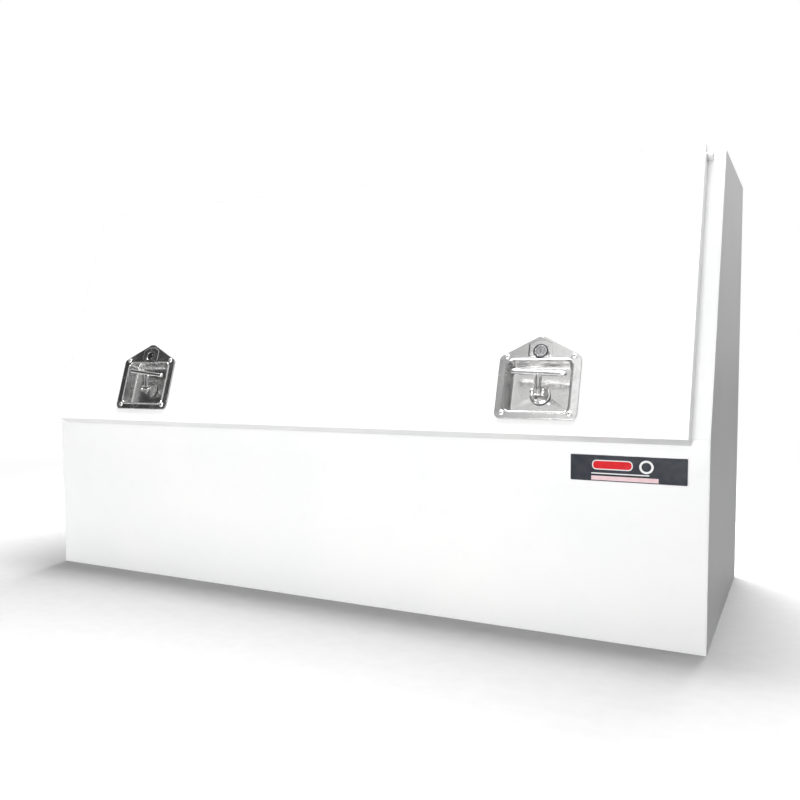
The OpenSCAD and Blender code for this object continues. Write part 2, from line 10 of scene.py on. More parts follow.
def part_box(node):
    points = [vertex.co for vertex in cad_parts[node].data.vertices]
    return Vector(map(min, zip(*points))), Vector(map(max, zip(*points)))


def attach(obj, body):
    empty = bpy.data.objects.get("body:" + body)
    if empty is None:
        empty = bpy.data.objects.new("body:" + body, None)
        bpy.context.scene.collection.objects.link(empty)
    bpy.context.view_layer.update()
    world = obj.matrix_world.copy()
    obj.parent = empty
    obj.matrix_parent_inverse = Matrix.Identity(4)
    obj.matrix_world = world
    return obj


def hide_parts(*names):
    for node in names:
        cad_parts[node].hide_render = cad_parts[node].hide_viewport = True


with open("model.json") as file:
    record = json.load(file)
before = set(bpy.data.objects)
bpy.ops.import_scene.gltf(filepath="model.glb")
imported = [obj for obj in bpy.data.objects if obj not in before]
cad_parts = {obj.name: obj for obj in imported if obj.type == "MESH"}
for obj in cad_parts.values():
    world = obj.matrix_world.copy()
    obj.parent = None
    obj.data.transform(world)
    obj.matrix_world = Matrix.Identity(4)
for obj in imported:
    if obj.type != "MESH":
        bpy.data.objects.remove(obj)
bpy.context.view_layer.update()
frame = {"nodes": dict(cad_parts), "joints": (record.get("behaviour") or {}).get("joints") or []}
joints = {joint["name"]: joint for joint in frame["joints"]}
mm = 0.001


# Camera: eye level with the locks, off to the right of the box, turned left and a little down.
# Its lens is shifted and not turned, so that the box's upright edges stay nearly upright.
front_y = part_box("lower_front_panel")[0].y
eye = Vector((0.715, front_y - 1.303, 0.415))
yaw, pitch, roll = math.radians(31.1), math.radians(3.76), math.radians(-0.67)
ahead = Vector((-math.sin(yaw) * math.cos(pitch), math.cos(yaw) * math.cos(pitch), -math.sin(pitch)))
level = Vector((math.cos(yaw), math.sin(yaw), 0))
upright = level.cross(ahead)
right = math.cos(roll) * level + math.sin(roll) * upright
up = math.cos(roll) * upright - math.sin(roll) * level
camera = bpy.data.objects.new("camera", bpy.data.cameras.new("camera"))
camera.data.sensor_width = 36
camera.data.lens = 39.51
camera.data.shift_x = 0.14625
camera.data.shift_y = 0.01875
camera.data.clip_end = 60
camera.matrix_world = Matrix.Translation(eye) @ Matrix((right, up, -ahead)).transposed().to_4x4()
bpy.context.scene.collection.objects.link(camera)
bpy.context.scene.camera = camera
bpy.context.scene.view_settings.view_transform = "Standard"


# Shader values: sums and products of a tree's values add its Math nodes.
# Every other node comes from Nodes.node, which sets its settings first and then its sockets.
class Value:
    def __init__(self, nodes, socket):
        self.nodes = nodes
        self.socket = socket

    def math(self, operation, first, second):
        return self.nodes.node("ShaderNodeMath", {"operation": operation}, {0: first, 1: second})

    def __add__(self, other):
        return self.math("ADD", self, other)

    def __rsub__(self, other):
        return self.math("SUBTRACT", other, self)

    def __mul__(self, other):
        return self.math("MULTIPLY", self, other)

    def at_least(self, other):
        return self.math("MAXIMUM", self, other)

    __radd__ = __add__


class Nodes:
    def __init__(self, tree):
        self.tree = tree

    def put(self, node, values):
        for key, value in values.items():
            socket = node.inputs[key.replace("_", " ") if isinstance(key, str) else key]
            if isinstance(value, Value):
                self.tree.links.new(value.socket, socket)
            elif isinstance(value, tuple) and len(value) == 3 and socket.type == "RGBA":
                socket.default_value = (*value, 1)
            else:
                socket.default_value = value

    def node(self, kind, settings=None, values=None, out=0):
        made = self.tree.nodes.new(kind)
        for key, setting in (settings or {}).items():
            setattr(made, key, setting)
        self.put(made, values or {})
        return Value(self, made.outputs[out])

    def vector(self, operation, first, second, out=0):
        return self.node("ShaderNodeVectorMath", {"operation": operation}, {0: first, 1: second}, out)

    def spread(self, value, low, high, start=0.0, end=1.0):
        return self.node("ShaderNodeMapRange", None, {0: value, 1: low, 2: high, 3: start, 4: end})


class Finish(Nodes):
    def __init__(self, name, **sockets):
        self.material = bpy.data.materials.new(name)
        self.material.use_nodes = True
        super().__init__(self.material.node_tree)
        self.shader = self.tree.nodes["Principled BSDF"]
        self.put(self.shader, sockets)

    def place(self, stretch=(1, 1, 1)):
        return self.vector("MULTIPLY", self.node("ShaderNodeTexCoord", out="Object"), stretch)

    def noise(self, scale, detail=3.0, rough=0.5, stretch=(1, 1, 1)):
        sockets = {"Vector": self.place(stretch), "Scale": scale, "Detail": detail, "Roughness": rough}
        return self.node("ShaderNodeTexNoise", None, sockets)

    def blend(self, factor, first, second):
        return self.node("ShaderNodeMix", {"data_type": "RGBA"}, {0: factor, 6: first, 7: second}, out=2)

    def bump(self, height, strength, distance):
        sockets = {"Strength": strength, "Distance": distance, "Height": height}
        return self.node("ShaderNodeBump", None, sockets)

    def wear(self, **sockets):
        self.put(self.shader, sockets)
        return self.material


# The floor: a studio sweep of mid grey paper that the box stands on. The light over it is strong enough
# to leave it white, and only the box's own shadow stays grey. It runs out into the white background.
# Away from the box's front it is near black to all but the camera, so that the panels don't mirror it.
def studio_floor():
    box_front = (-0.35, -0.55, 0)
    paper = Finish("studio_paper", Roughness=0.75, Base_Color=(0.38, 0.38, 0.38))
    speck = paper.noise(40, 4)
    tone = paper.blend(paper.spread(speck, 0.3, 0.7), (0.37, 0.37, 0.37), (0.39, 0.39, 0.39))
    away = paper.vector("DISTANCE", paper.place(), (0, 0, 0), "Value")
    seen = paper.node("ShaderNodeLightPath")
    aside = paper.vector("DISTANCE", paper.place(), box_front, "Value")
    unlit = paper.spread(aside, 0.72, 1.12) * (1.0 - seen)
    lit = paper.wear(Base_Color=paper.blend(unlit, tone, (0.05, 0.05, 0.05)))
    glow = paper.node("ShaderNodeEmission", None, {"Color": (1.0, 1.0, 1.0), "Strength": 1.0})
    paper_out = Value(paper, paper.shader.outputs[0])
    far = paper.spread(away, 1.2, 2.4) * seen
    mixed = paper.node("ShaderNodeMixShader", None, {0: far, 1: paper_out, 2: glow})
    paper.tree.links.new(mixed.socket, paper.tree.nodes["Material Output"].inputs["Surface"])
    bm = bmesh.new()
    bmesh.ops.create_circle(bm, cap_ends=True, radius=25, segments=96)
    mesh = bpy.data.meshes.new("studio_floor")
    bm.to_mesh(mesh)
    bm.free()
    floor = bpy.data.objects.new("studio_floor", mesh)
    floor.location.z = -0.0002
    mesh.materials.append(lit)
    bpy.context.scene.collection.objects.link(floor)


studio_floor()


# Studio light: a strong softbox overhead and a little behind, so that the shadow falls in front of the box,
# a low one in front that fills the front and the door and only grazes the floor, and two dim cards.
# The side card lifts the top of the right side panel, and the right lock mirrors the high card.
def softbox(name, place, target, width, height, power):
    light = bpy.data.objects.new(name, bpy.data.lights.new(name, "AREA"))
    light.data.shape = "RECTANGLE"
    light.data.size = width
    light.data.size_y = height
    light.data.energy = power
    light.location = place
    light.rotation_euler = (Vector(target) - Vector(place)).to_track_quat("-Z", "Y").to_euler()
    bpy.context.scene.collection.objects.link(light)


softbox("top_softbox", (-0.03, 1.0, 2.9), (-0.03, 0.0, 0.0), 1.9, 2.6, 350)
softbox("front_softbox", (0.4, -3.9, 0.55), (0, 0, 0.35), 1.3, 0.7, 84)
softbox("side_card", (1.25, 0.05, 1.25), (0.6, 0.0, 0.62), 0.5, 0.5, 3.4)
softbox("high_card", (0.12, -3.5, 2.85), (0.1, -0.25, 0.35), 1.5, 1.9, 8.5)


# The room round it: bright to the camera, dim to everything else, dimmer low down, and darkest on the
# front left, which the left lock mirrors.
def studio_room():
    world = bpy.data.worlds.new("studio")
    world.use_nodes = True
    bpy.context.scene.world = world
    room = Nodes(world.node_tree)
    dark_way = tuple(Vector((-0.70, -0.58, 0.42)).normalized())
    toward = room.node("ShaderNodeTexCoord", out="Generated")
    facing = room.vector("DOT_PRODUCT", toward, dark_way, "Value")
    height = room.vector("DOT_PRODUCT", toward, (0, 0, 1), "Value")
    glow = room.spread(facing, 0.895, 0.97, 0.47, 0.04) * room.spread(height, -0.1, 0.8, 0.5, 1.15)
    seen = room.node("ShaderNodeLightPath")
    room.put(room.tree.nodes["Background"], {"Color": (1, 1, 1), "Strength": glow.at_least(seen)})


studio_room()


# Sheet steel panels: 1.5 mm steel, folded and welded, then sprayed with white gloss powder and baked.
# The powder flows out to a faint orange peel, and handling leaves the odd dull patch on it.
def powder_coat():
    coat = Finish("white_powder_coat", Roughness=0.4, Coat_Roughness=0.25, IOR=1.45)
    cloud = coat.noise(5, 3)
    peel = coat.noise(520, 2, 0.55)
    grain = coat.noise(2600, 1)
    rub = coat.spread(coat.noise(26, 5, 0.65), 0.56, 0.78)
    tone = coat.blend(coat.spread(cloud, 0.3, 0.7), (0.83, 0.835, 0.84), (0.865, 0.865, 0.86))
    tone = coat.blend(rub * 0.25, tone, (0.76, 0.76, 0.755))
    return coat.wear(
        Base_Color=tone,
        Roughness=0.38 + cloud * 0.08 + rub * 0.12,
        Coat_Weight=0.2 - rub * 0.1,
        Normal=coat.bump(peel + grain * 0.15, 0.22, 0.00035),
    )


white_coat = powder_coat()
panels = (
    "floor_pan", "mounting_bars", "back_panel", "top_panel", "left_side_panel", "right_side_panel",
    "lower_front_panel", "top_rail", "bottom_rail", "left_stile", "right_stile", "hinge_body_leaf",
    "door_pan", "door_stiffeners",
)


# A flat face shades flat right up to its rounded edge.
def shade_flat(piece):
    shade = piece.modifiers.new("shade", "WEIGHTED_NORMAL")
    shade.mode = "FACE_AREA"
    shade.weight = 100
    shade.keep_sharp = True


# A folded edge is never sharp: the coat rounds it off. The bevel only softens, so the panel keeps its size.
# The facets of a flat face are joined first, so that no thin triangle shows in the gloss.
def finish_node(name, material, edge=0.5 * mm):
    node = frame["nodes"][name]
    node.data.materials.clear()
    node.data.materials.append(material)
    weld = node.modifiers.new("weld", "WELD")
    weld.merge_threshold = 0.002 * mm
    facets = node.modifiers.new("facets", "DECIMATE")
    facets.decimate_type = "DISSOLVE"
    facets.angle_limit = math.radians(1)
    bevel = node.modifiers.new("edge", "BEVEL")
    bevel.width = edge
    bevel.segments = 2
    bevel.limit_method = "ANGLE"
    bevel.angle_limit = math.radians(50)
    bevel.use_clamp_overlap = True
    shade_flat(node)


for panel in panels:
    finish_node(panel, white_coat)


# Fasteners and pressings that nobody paints: zinc plated steel, a cool grey with faint yellow-blue
# clouds in the plating and fine marks from the barrel it was plated in.
def zinc_plate():
    zinc = Finish("zinc_plate", Metallic=1.0, Roughness=0.35)
    cloud = zinc.noise(60, 4)
    mark = zinc.noise(900, 3, 0.6)
    tone = zinc.blend(zinc.spread(cloud, 0.35, 0.65), (0.55, 0.56, 0.58), (0.63, 0.62, 0.58))
    return zinc.wear(
        Base_Color=tone,
        Roughness=0.28 + mark * 0.18,
        Normal=zinc.bump(mark, 0.15, 0.0002),
    )


zinc = zinc_plate()
for part in ("hinge_door_leaf", "hinge_pin", "hinge_rivets", "strikers"):
    finish_node(part, zinc, 0.3 * mm)


# Shapes built ring by ring: a ring is a closed loop of points, skinned to the next one, capped or filled.
# Sizes inside a shape are millimetres in the shape's own place, which sets where it goes on the box.
class Shape:
    def __init__(self):
        self.points = []
        self.faces = []

    def ring(self, points):
        start = len(self.points)
        self.points += [Vector(point).to_3d() for point in points]
        return list(range(start, len(self.points)))

    def skin(self, lower, upper):
        count = len(lower)
        for i in range(count):
            j = (i + 1) % count
            self.faces.append((lower[i], lower[j], upper[j], upper[i]))

    def stack(self, rings, capped=(False, False), looped=False):
        made = [self.ring(points) for points in rings]
        for lower, upper in zip(made, made[1:]):
            self.skin(lower, upper)
        if looped:
            self.skin(made[-1], made[0])
        if capped[0]:
            self.faces.append(tuple(reversed(made[0])))
        if capped[1]:
            self.faces.append(tuple(made[-1]))
        return made

    def fill(self, *rings):
        loops = [[self.points[i] for i in ring] for ring in rings]
        flat = [i for ring in rings for i in ring]
        self.faces += [tuple(flat[i] for i in face) for face in tessellate_polygon(loops)]

    def turn(self, profile, place=Matrix.Identity(4), steps=48):
        around = [(math.cos(math.tau * i / steps), math.sin(math.tau * i / steps)) for i in range(steps)]
        rings = []
        for radius, height in profile:
            rings.append([place @ Vector((radius * x, radius * y, height)) for x, y in around])
        return self.stack(rings)

    def build(self, name, place, material, body, replaced=(), smooth=38, facing=None):
        mesh = bpy.data.meshes.new(name)
        mesh.from_pydata([place @ (point * mm) for point in self.points], [], self.faces)
        bm = bmesh.new()
        bm.from_mesh(mesh)
        bmesh.ops.remove_doubles(bm, verts=bm.verts, dist=0.0008 * mm)
        bmesh.ops.recalc_face_normals(bm, faces=bm.faces)
        if facing and sum(face.normal.dot(facing) * face.calc_area() for face in bm.faces) < 0:
            bmesh.ops.reverse_faces(bm, faces=bm.faces)
        bm.to_mesh(mesh)
        bm.free()
        mesh.polygons.foreach_set("use_smooth", [True] * len(mesh.polygons))
        mesh.set_sharp_from_angle(angle=math.radians(smooth))
        mesh.materials.append(material)
        piece = bpy.data.objects.new(name, mesh)
        bpy.context.scene.collection.objects.link(piece)
        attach(piece, body)
        if replaced:
            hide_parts(*replaced)
        return piece


def outline(corners, radius, grow=0.0, height=0.0, steps=6):
    ring = []
    for i, corner in enumerate(corners):
        here = Vector(corner)
        before = (here - Vector(corners[i - 1])).normalized()
        after = (Vector(corners[(i + 1) % len(corners)]) - here).normalized()
        side = Vector((before.y, -before.x))
        middle = (side + Vector((after.y, -after.x))).normalized()
        bend = max(radius + grow, 0.2)
        turn = before.angle(after)
        centre = here + middle * (grow - bend) / middle.dot(side)
        start = math.atan2(side.y, side.x)
        for step in range(steps + 1):
            angle = start + turn * step / steps
            ring.append((centre.x + bend * math.cos(angle), centre.y + bend * math.sin(angle), height))
    return ring


def oblong(x0, y0, x1, y1):
    return [(x0, y0), (x1, y0), (x1, y1), (x0, y1)]


def circle(radius, x=0.0, y=0.0, steps=40):
    return [(x + radius * math.cos(math.tau * i / steps), y + radius * math.sin(math.tau * i / steps))
            for i in range(steps)]


# The slope: its own place, with x across the box, y up the slope and z out of it, from the fold's middle.
out = Vector(joints["right_handle_turn"]["axis"]).normalized()
across = Vector((1, 0, 0))
along = out.cross(across)
fold = Vector((0, front_y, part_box("lower_front_panel")[1].z))
slope_place = Matrix((across, along, out)).transposed().to_4x4()
slope_place.translation = fold


def slope_reach(node):
    points = [vertex.co - fold for vertex in frame["nodes"][node].data.vertices]
    return [
        (min(point.dot(axis) for point in points) / mm, max(point.dot(axis) for point in points) / mm)
        for axis in (across, along, out)
    ]


# The seal: one length of black EPDM, a hollow bulb on a steel-cored clip, pushed over the opening's upstand
# and bent round its corners. The bulb is squeezed a little where the door lands on it.
def seal_rubber():
    rubber = Finish("seal_rubber", Roughness=0.62, Specular_IOR_Level=0.35)
    skin = rubber.noise(700, 4, 0.6)
    bloom = rubber.spread(rubber.noise(18, 4), 0.45, 0.75)
    tone = rubber.blend(bloom, (0.018, 0.018, 0.019), (0.045, 0.045, 0.046))
    return rubber.wear(
        Base_Color=tone,
        Roughness=0.55 + bloom * 0.2,
        Normal=rubber.bump(skin, 0.3, 0.0002),
    )


rubber = seal_rubber()


def door_seal():
    (x0, x1), (s0, s1), (h0, h1) = slope_reach("door_seal")
    half, clip, bulb_r, corner_r = 4.5, 3.2, 4.4, 5
    lip = oblong(x0 + half, s0 + half, x1 - half, s1 - half)
    bulb = [(bulb_r * math.sin(a), h1 - bulb_r - bulb_r * math.cos(a)) for a in
            [math.radians(30 + 20 * i) for i in range(16)]]
    section = [(-clip, h0), (-1.0, h0), (-0.9, h0 + 7.5), (0.9, h0 + 7.5), (1.0, h0), (clip, h0)]
    section += [(clip, h0 + 7), (1.8, h0 + 8.6), *bulb, (-1.8, h0 + 8.6), (-clip, h0 + 7)]
    seal = Shape()
    seal.stack([outline(lip, corner_r, grow, height) for grow, height in section], looped=True)
    seal.build("seal_bulb_and_clip", slope_place, rubber, "box", ("door_seal",), smooth=50)


door_seal()
for part in ("drain_plugs", "latch_gaskets"):
    finish_node(part, rubber, 0.4 * mm)


# Lock dishes: thin stainless sheet, pressed in one hit into a house shaped flange, a rolled rim and a
# drafted dish, then polished. A raised keystone stiffens the flange round the key.
def polished_stainless(name, rough, wave):
    steel = Finish(name, Metallic=1.0, Roughness=rough)
    brush = steel.noise(220, 4, 0.6, (1, 14, 14))
    smear = steel.spread(steel.noise(45, 5, 0.6), 0.5, 0.72)
    tone = steel.blend(steel.spread(brush, 0.3, 0.7), (0.64, 0.64, 0.64), (0.76, 0.755, 0.75))
    tone = steel.blend(smear * 0.3, tone, (0.55, 0.54, 0.53))
    return steel.wear(
        Base_Color=tone,
        Roughness=rough + brush * 0.08 + smear * 0.1,
        Normal=steel.bump(brush + steel.noise(30, 2) * wave, 0.12, 0.0004),
    )


pressed_steel = polished_stainless("pressed_stainless", 0.18, 2.0)
stainless = polished_stainless("polished_stainless", 0.1, 1.0)
sides = {"left": -1, "right": 1}
lock_places = {}
for side in sides:
    place = slope_place.copy()
    place.translation = Vector(joints[f"{side}_handle_turn"]["pos_m"])
    lock_places[side] = place
plate_low, plate_shoulder, plate_tip, tip_half = 42.0, 54.0, 85.5, 4.0
plate_half, plate_r, plate_top, gasket_top = 60.0, 9.0, 2.5, 1.0
house = [
    (-plate_half, -plate_low), (plate_half, -plate_low), (plate_half, plate_shoulder),
    (tip_half, plate_tip), (-tip_half, plate_tip), (-plate_half, plate_shoulder),
]
mouth = oblong(-46.5, -30, 46.5, 48)
dish_depth = 22.0
dish_floor = plate_top - dish_depth
key_v = 62.5


def latch_dish(side):
    dish = Shape()
    edge = dish.stack([
        outline(house, plate_r, 0.0, gasket_top + 0.2),
        outline(house, plate_r, 0.0, plate_top - 0.6),
        outline(house, plate_r, -0.2, plate_top - 0.18),
        outline(house, plate_r, -0.6, plate_top),
    ])
    rolled = [
        (3.4, 0.0), (3.1, 0.15), (2.6, 0.6), (2.0, 1.0), (1.4, 1.2), (0.8, 1.05), (0.2, 0.5), (-0.1, -0.4),
        (-0.35, -4.0), (-1.2, -15.5), (-1.5, -17.6), (-2.3, -19.8), (-3.6, -21.3), (-5.4, -dish_depth),
    ]
    sunk = dish.stack([outline(mouth, 8, grow, plate_top + height) for grow, height in rolled])
    keystone = [(-17, 54.2), (17, 54.2), (17, 73.5), (6.5, 79.5), (-6.5, 79.5), (-17, 73.5)]
    relief = [(1.2, 0.0), (0.5, 0.12), (-0.3, 0.4), (-1.0, 0.5)]
    raised = dish.stack([outline(keystone, 3, grow, plate_top + height) for grow, height in relief])
    key_hole = dish.ring([(x, y, plate_top + relief[-1][1]) for x, y in circle(7.0, y=key_v)])
    shaft_hole = dish.ring([(x, y, dish_floor) for x, y in circle(7.1)])
    dish.fill(edge[-1], sunk[0], raised[0])
    dish.fill(raised[-1], key_hole)
    dish.fill(sunk[-1], shaft_hole)
    piece = dish.build(f"{side}_dish_pressing", lock_places[side], pressed_steel, "door",
                       (f"{side}_latch_dish",), smooth=32, facing=out)
    wall = piece.modifiers.new("sheet", "SOLIDIFY")
    wall.thickness = 1.1 * mm
    wall.offset = -1
    shade_flat(piece)


for side in sides:
    latch_dish(side)


# Rivets: bright aluminium blind rivets with a broad domed head, one in each corner of the flange.
# The steel stem snaps off inside the head and leaves a dimple; the stem is coloured near black as painted
# shade in the dimple.
def satin_aluminium():
    alloy = Finish("satin_alloy", Metallic=1.0, Roughness=0.42)
    grain = alloy.noise(900, 3)
    return alloy.wear(
        Base_Color=alloy.blend(grain, (0.88, 0.88, 0.88), (0.94, 0.94, 0.935)),
        Roughness=0.38 + grain * 0.12,
    )


# Rivet stems: steel coloured near black, which is painted shade in the rivets' dimples.
def rivet_dimple_painted_shade():
    dark = Finish("rivet_dimple_painted_shade", Metallic=0.8, Roughness=0.5)
    grain = dark.noise(1500, 3)
    return dark.wear(
        Base_Color=dark.blend(grain, (0.03, 0.03, 0.032), (0.09, 0.088, 0.085)),
        Roughness=0.4 + grain * 0.25,
    )


def latch_rivets():
    rivets = Shape()
    stems = Shape()
    lock_x = lock_places["right"].translation.x / mm
    rivet_u, rivet_low, rivet_high = 49, -33.5, 54
    dome = [(4.1, 0.0), (4.2, 0.25), (3.9, 0.7), (3.1, 1.15), (2.1, 1.42), (1.3, 1.5), (1.15, 1.42),
            (1.05, 0.3), (0.0, 0.2)]
    shank = [(2.4, -0.5), (2.4, -4.0), (3.6, -4.1), (3.5, -4.9), (2.6, -5.2), (0.0, -5.2)]
    broken_end = [(1.0, 0.3), (0.95, 0.55), (0.5, 0.75), (0.0, 0.8)]
    for side in sides.values():
        for u in (-rivet_u, rivet_u):
            for v in (rivet_low, rivet_high):
                spot = Matrix.Translation((side * lock_x + u, v, plate_top))
                rivets.turn(dome, spot, 32)
                rivets.turn(shank, spot, 24)
                stems.turn(broken_end, spot, 16)
    middle = slope_place.copy()
    middle.translation = lock_places["right"].translation - across * lock_x * mm
    rivets.build("lock_rivets", middle, satin_aluminium(), "door", ("latch_rivets",))
    stems.build("rivet_stems", middle, rivet_dimple_painted_shade(), "door")


latch_rivets()


# Black nylon, as moulded, for the small washers and the struts' sockets.
def moulded_nylon():
    nylon = Finish("moulded_nylon", Roughness=0.45)
    grain = nylon.noise(1200, 3)
    cloud = nylon.noise(80, 3)
    return nylon.wear(
        Base_Color=nylon.blend(cloud, (0.02, 0.02, 0.022), (0.04, 0.04, 0.042)),
        Roughness=0.38 + grain * 0.2,
        Normal=nylon.bump(grain, 0.2, 0.0002),
    )


black_nylon = moulded_nylon()


# Key cylinders: a turned, chromed barrel with a stepped head, held from behind by a hexagon nut.
# The plug in it turns with the key, and its face is cut by the keyway.
def lock_cylinder(side):
    place = lock_places[side] @ Matrix.Translation((0, key_v * mm, 0))
    top = plate_top + 1.5
    barrel = Shape()
    barrel.turn([
        (9.0, -21.0), (9.0, plate_top + 0.4), (9.2, plate_top + 0.5), (9.2, top - 0.5),
        (8.9, top - 0.05), (8.3, top), (8.0, top - 0.25), (7.7, top - 0.9),
        (6.15, top - 0.9), (6.1, top - 1.4), (6.06, -21.0), (9.0, -21.0),
    ], steps=64)
    barrel.build(f"{side}_key_barrel", place, chrome, "door", (f"{side}_lock_barrel",))
    seat = Shape()
    seat.turn([(9.22, plate_top + 0.2), (10.9, plate_top + 0.2), (10.95, top - 0.5), (10.4, top - 0.1),
               (9.5, top - 0.15), (9.22, top - 0.5), (9.22, plate_top + 0.2)], steps=64)
    seat.build(f"{side}_key_seat", place, black_nylon, "door")
    plug = Shape()
    face = top - 0.6
    rings = plug.turn([(3.0, -25.6), (3.0, -21.0), (5.95, -20.9), (5.95, face - 0.4), (5.6, face)], steps=48)
    way = [(-0.6, -3.4), (0.6, -3.4), (0.6, -0.9), (1.1, -0.4), (1.1, 0.5), (0.6, 1.0),
           (0.6, 3.4), (-0.6, 3.4), (-0.6, 1.6), (-1.0, 1.2), (-1.0, 0.4), (-0.6, -0.1)]
    mouth_ring = plug.ring([(x, y, face) for x, y in way])
    floor_ring = plug.ring([(x, y, face - 3.0) for x, y in way])
    plug.fill(rings[-1], mouth_ring)
    plug.skin(mouth_ring, floor_ring)
    plug.fill(floor_ring)
    plug.faces.append(tuple(rings[0]))
    plug.build(f"{side}_key_face", place, chrome, f"{side}_key", (f"{side}_key_plug",))


def bright_chrome():
    plated = Finish("bright_chrome", Metallic=1.0, Roughness=0.08)
    haze = plated.spread(plated.noise(300, 4), 0.4, 0.7)
    return plated.wear(
        Base_Color=plated.blend(haze, (0.66, 0.665, 0.68), (0.58, 0.58, 0.59)),
        Roughness=0.06 + haze * 0.12,
        Normal=plated.bump(plated.noise(120, 2), 0.06, 0.0002),
    )


chrome = bright_chrome()
for side in sides:
    lock_cylinder(side)
for part in ("lock_nuts", "spindle_housings", "left_lock_cam", "right_lock_cam", "left_pawl", "right_pawl",
             "left_pawl_nut", "right_pawl_nut"):
    finish_node(part, zinc, 0.35 * mm)


# Spindles: a turned stainless shaft with a flanged hub, a black nylon washer under it whose dark rim is
# painted shade round the hub, and two milled ears that carry the clevis pin.
clevis_pin = Vector(joints["right_handle_fold"]["pos_m"])
clevis_w = (clevis_pin - lock_places["right"].translation).dot(out) / mm


def spindle(side):
    body = f"{side}_spindle"
    place = lock_places[side]
    seat = dish_floor + 0.3
    top = dish_floor + 5.5
    hub = Shape()
    shaft = [(0.0, -44.0), (4.6, -44.0), (5.0, -43.5), (5.0, -34.0), (7.0, -34.0), (7.0, seat + 1.0)]
    flange = [(13.6, seat + 1.0), (14.6, seat + 1.3), (15.0, seat + 2.2), (14.6, seat + 3.0)]
    boss = [(13.4, seat + 3.2), (13.0, seat + 2.4), (12.2, seat + 2.3), (12.0, top - 1.2), (11.6, top - 0.3)]
    recess = [(10.9, top), (9.9, top - 0.2), (9.4, top - 0.9), (0.0, top - 0.9)]
    hub.turn(shaft + flange + boss + recess, steps=64)
    ear_r, ear_foot = 6.6, top - 1.2
    ear = [(-8.0, ear_foot), (8.0, ear_foot), *circle(ear_r, y=clevis_w, steps=24)[:13]]
    for x in (-10.0, 5.2):
        rings = []
        for step, inset in ((0.0, 0.7), (0.2, 0.25), (0.7, 0.0), (4.1, 0.0), (4.6, 0.25), (4.8, 0.7)):
            narrow, low = 1 - inset / 6, 1 - inset / 14
            rings.append([(x + step, y * narrow, clevis_w + (z - clevis_w) * low) for y, z in ear])
        hub.stack(rings, capped=(True, True))
    hub.build(f"{side}_hub_and_shaft", place, stainless, body, (f"{side}_spindle",))
    # The washer is black nylon, and its dark rim under the hub's flange is painted shade round the hub.
    washer = Shape()
    washer.turn([
        (7.1, seat - 0.25), (14.6, seat - 0.25), (15.0, seat + 0.1), (14.7, seat + 0.8), (14.0, seat + 1.0),
        (7.1, seat + 1.0), (7.1, seat - 0.25),
    ], steps=64)
    washer.build(f"{side}_hub_washer_painted_shade", place, black_nylon, body)
    pin = Shape()
    sideways = Matrix.Translation((0, 0, clevis_w)) @ Matrix.Rotation(math.radians(90), 4, "Y")
    pin_end = [(0.0, 11.2), (1.2, 11.2), (2.1, 10.9), (2.5, 10.3)]
    pin.turn([(radius, -reach) for radius, reach in pin_end] + pin_end[::-1], sideways, 32)
    pin.build(f"{side}_clevis_pin", place, chrome, body, (f"{side}_handle_pin",))


for side in sides:
    spindle(side)


# T-handles: a polished stainless bar with rounded ends, welded across a forged stem whose eye turns on the
# clevis pin. The stem is slit into two prongs, and its play on the pin lets the bar hang a little askew.
def handle(side):
    slack = math.radians({"left": -7.0, "right": -3.0}[side])
    place = lock_places[side] @ Matrix.Translation((0, 0, clevis_w * mm)) @ Matrix.Rotation(slack, 4, "Z")
    bar_w, reach, half, bar_r = 8.6, 26.5, 41.0, 4.0
    rise = bar_w - clevis_w
    tee = Shape()
    bar = Matrix.Translation((0, reach, rise)) @ Matrix.Rotation(math.radians(90), 4, "Y")
    dome = [(bar_r * math.cos(a), half - bar_r + bar_r * math.sin(a)) for a in
            [math.radians(15 * i) for i in range(7)]]
    profile = [(radius, -height) for radius, height in reversed(dome)]
    tee.turn(profile + [(bar_r + 0.1, -33), (bar_r, -30), (bar_r, 30), (bar_r + 0.1, 33)] + dome, bar, 40)
    direction = Vector((0, reach, rise)).normalized()
    normal = Vector((1, 0, 0)).cross(direction)
    length = math.hypot(reach, rise)
    prong_sections = [(0.06, 1.0, 4.3, 3.0), (0.2, 1.0, 4.6, 3.4), (0.45, 1.2, 4.7, 3.2),
                      (0.75, 1.6, 5.0, 3.0), (0.88, 1.5, 5.8, 3.3), (0.96, 0.9, 7.2, 3.4)]
    for prong in (-1, 1):
        rings = []
        for share, inner, outer, thick in prong_sections:
            section = outline(oblong(inner, -thick, outer, thick), 1.2)
            middle = direction * length * share
            rings.append([Vector((x * prong, 0, 0)) + middle + normal * y for x, y, _ in section])
        tee.stack(rings, capped=(True, True))
    eye = Matrix.Rotation(math.radians(90), 4, "Y")
    eye_ring = [(2.6, -4.9), (4.5, -4.9), (5.0, -4.4), (5.0, 4.4), (4.5, 4.9), (2.6, 4.9), (2.6, -4.9)]
    tee.turn(eye_ring, eye, 40)
    node = f"{side}_handle"
    tee.build(f"{side}_tee_handle", place, stainless, node, (node,))


for side in sides:
    handle(side)


# Gas struts: a black stove-enamelled tube, rolled in over its guide, and a hard chromed rod.
# Each end snaps on to a ball stud with a nylon socket; the brackets are folded steel, painted black.
def strut_enamel():
    enamel = Finish("strut_enamel", Roughness=0.35)
    fleck = enamel.noise(400, 3)
    scuff = enamel.spread(enamel.noise(70, 5, 0.7, (1, 1, 0.3)), 0.6, 0.8)
    return enamel.wear(
        Base_Color=enamel.blend(scuff, (0.02, 0.02, 0.022), (0.07, 0.07, 0.072)),
        Roughness=0.28 + fleck * 0.12 + scuff * 0.2,
        Normal=enamel.bump(fleck, 0.12, 0.0003),
    )


enamel = strut_enamel()
for part in ("left_strut_bracket", "right_strut_bracket", "left_door_bracket", "right_door_bracket"):
    finish_node(part, enamel, 0.4 * mm)
for part in ("body_ball_studs", "door_ball_studs"):
    finish_node(part, chrome, 0.2 * mm)


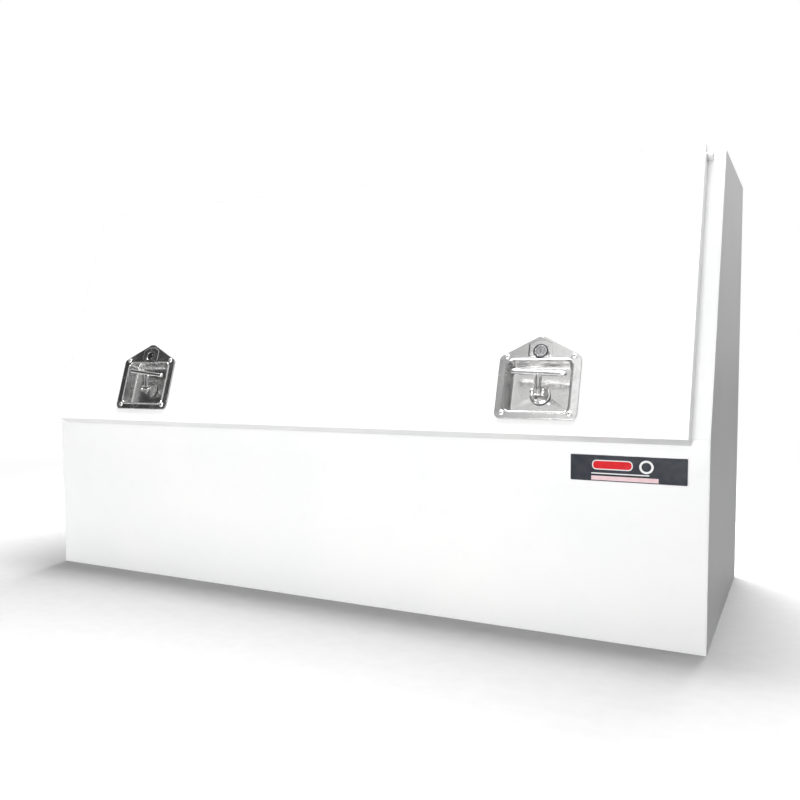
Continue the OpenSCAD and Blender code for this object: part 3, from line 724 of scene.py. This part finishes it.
def gas_strut(side):
    lower = Vector(joints[f"{side}_strut_tube_pivot"]["pos_m"])
    upper = Vector(joints[f"{side}_strut_rod_pivot"]["pos_m"])
    length = (upper - lower).length / mm
    place = (upper - lower).to_track_quat("Z", "X").to_matrix().to_4x4()
    place.translation = lower
    end = length - 30
    tube = Shape()
    foot = [(0.0, 13.0), (5.5, 13.0), (8.0, 13.6), (9.0, 15.5)]
    groove = [(9.0, end - 16), (8.6, end - 15.2), (8.35, end - 14.2), (8.6, end - 13.2), (9.0, end - 12.4)]
    rolled_in = [(9.0, end - 3), (8.3, end - 0.8), (6.6, end), (4.1, end), (4.08, end - 6)]
    tube.turn(foot + groove + rolled_in, steps=64)
    node = f"{side}_strut_tube"
    tube.build(f"{side}_strut_cylinder", place, enamel, node, (node,))
    finish_node(f"{side}_strut_rod", chrome, 0.2 * mm)
    finish_node(f"{side}_strut_piston", zinc, 0.2 * mm)
    finish_node(f"{side}_tube_socket", black_nylon, 0.6 * mm)
    finish_node(f"{side}_rod_socket", black_nylon, 0.6 * mm)


for side in sides:
    gas_strut(side)


# The badge: a printed label under clear gloss on a thin plate, charcoal with a white edge.
# Its mark is a plain one: a red bar edged in white, a white ring, a rule and a pale strip.
def badge():
    low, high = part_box("badge_plate")
    wide, tall, thick = [(high - low)[i] / mm for i in (0, 2, 1)]
    place = Matrix.Translation(low) @ Matrix.Rotation(math.radians(90), 4, "X")
    printed = 0.04

    def leaf(name, corners, radius, height, material, hole=None):
        shape = Shape()
        low, high = outline(corners, radius, 0.0, height - printed), outline(corners, radius, -0.02, height)
        top = shape.stack([low, high])[-1]
        if hole:
            shape.fill(top, shape.ring(outline(hole, radius, 0.0, height)))
        else:
            shape.faces.append(tuple(top))
        shape.build(name, place, material, "box")

    plate = Shape()
    edge = oblong(0, 0, wide, tall)
    rounding = [(0.0, -thick), (0.0, -0.3), (-0.1, -0.08), (-0.35, 0.0)]
    plate.stack([outline(edge, 2, grow, height) for grow, height in rounding], capped=(True, True))
    plate.build("badge_base", place, label_white, "box", ("badge_plate",))
    leaf("badge_field", oblong(1.1, 1.1, wide - 1.1, tall - 1.1), 1.6, printed, label_charcoal)
    bar = oblong(31, 17.5, 86, 31.5)
    leaf("badge_bar_edge", bar, 6, 2 * printed, label_white)
    leaf("badge_bar", oblong(32.4, 18.9, 84.6, 30.1), 4.6, 3 * printed, label_red)
    leaf("badge_ring", circle(9.5, 104, 24, 24), 0.2, 2 * printed, label_white, circle(6.5, 104, 24, 24))
    leaf("badge_line", oblong(30.0, 11.4, 108.0, 13.0), 0.4, 2 * printed, label_white)
    leaf("badge_strip", oblong(30.0, 2.4, 120.0, 8.6), 0.5, 2 * printed, label_pink)


def label_print(name, tone, shade):
    ink = Finish(name, Roughness=0.12, Specular_IOR_Level=0.3, Coat_Weight=0.15, Coat_Roughness=0.03)
    blot = ink.noise(90, 4)
    ripple = ink.noise(35, 2)
    return ink.wear(
        Base_Color=ink.blend(ink.spread(blot, 0.35, 0.65), tone, shade),
        Roughness=0.1 + blot * 0.05,
        Normal=ink.bump(ripple, 0.08, 0.0006),
    )


label_charcoal = label_print("label_charcoal", (0.028, 0.032, 0.042), (0.04, 0.044, 0.054))
label_white = label_print("label_white", (0.85, 0.85, 0.85), (0.8, 0.8, 0.8))
label_red = label_print("label_red", (0.72, 0.012, 0.02), (0.62, 0.01, 0.016))
label_pink = label_print("label_pink", (0.82, 0.62, 0.64), (0.76, 0.55, 0.58))
badge()
